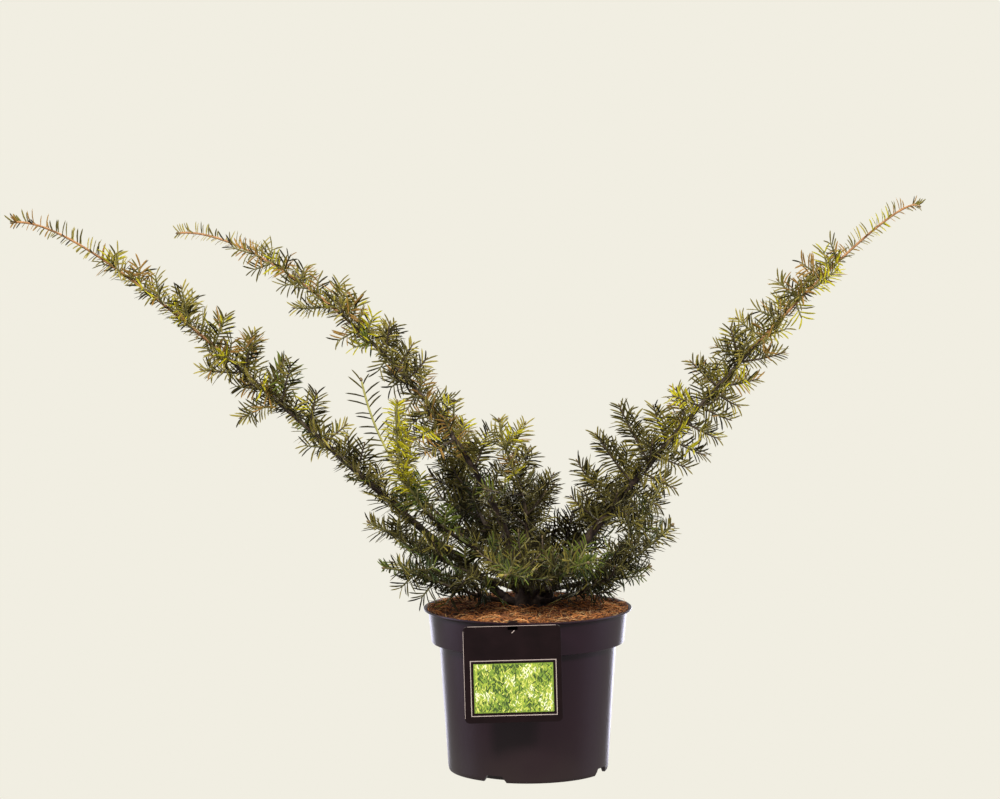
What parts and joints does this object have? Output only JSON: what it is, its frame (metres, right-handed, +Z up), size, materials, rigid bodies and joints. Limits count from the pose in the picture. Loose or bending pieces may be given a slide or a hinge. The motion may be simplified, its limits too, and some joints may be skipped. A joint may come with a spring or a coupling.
{
  "type": "potted english yew",
  "caption": "Young spreading evergreen shrub with flat dark needles, long arching leaders and a bushy middle, standing in a round nursery pot of soil with a blank hanging tag.",
  "frame": {"origin": "middle of the pot's flat underside, on the surface that the pot stands on", "axes": "+Z up, +X along the plant's longest spread to the picture's right, +Y to the back, away from the side with the tag"},
  "size_m": [0.8255, 0.2754, 0.5228],
  "materials": {
    "pot_plastic": "dark charcoal moulded plastic with a faint plum tint, semi-matt",
    "soil": "coarse reddish brown bark and fibre",
    "tag_card": "black printed plastic card with a pale frame and a green leaf pattern panel",
    "bark": "flaky purple brown bark, orange brown on young stems",
    "needles": "waxy dark green needles, yellow green at the shoot tips"
  },
  "bodies": {
    "root": {"bough_back_left": "bark", "bough_back_right": "bark", "bough_back_skirt": "bark", "bough_front_left": "bark", "bough_front_right": "bark", "bough_golden": "bark", "bough_left_high": "bark", "bough_left_long": "bark", "bough_left_middle": "bark", "bough_left_skirt_high": "bark", "bough_left_skirt_low": "bark", "bough_middle_back": "bark", "bough_middle_gold": "bark", "bough_right_long": "bark", "bough_right_low": "bark", "bough_right_skirt": "bark", "bough_rim_right": "bark", "bough_sprig": "bark", "foliage_back_left": "needles", "foliage_back_right": "needles", "foliage_back_skirt": "needles", "foliage_front_left": "needles", "foliage_front_right": "needles", "foliage_golden": "needles", "foliage_left_high": "needles", "foliage_left_long": "needles", "foliage_left_middle": "needles", "foliage_left_skirt_high": "needles", "foliage_left_skirt_low": "needles", "foliage_middle_back": "needles", "foliage_middle_gold": "needles", "foliage_right_long": "needles", "foliage_right_low": "needles", "foliage_right_skirt": "needles", "foliage_rim_right": "needles", "foliage_sprig": "needles", "plant_tag": "tag_card", "pot": "pot_plastic", "soil": "soil", "stem": "bark"}
  },
  "joints": []
}
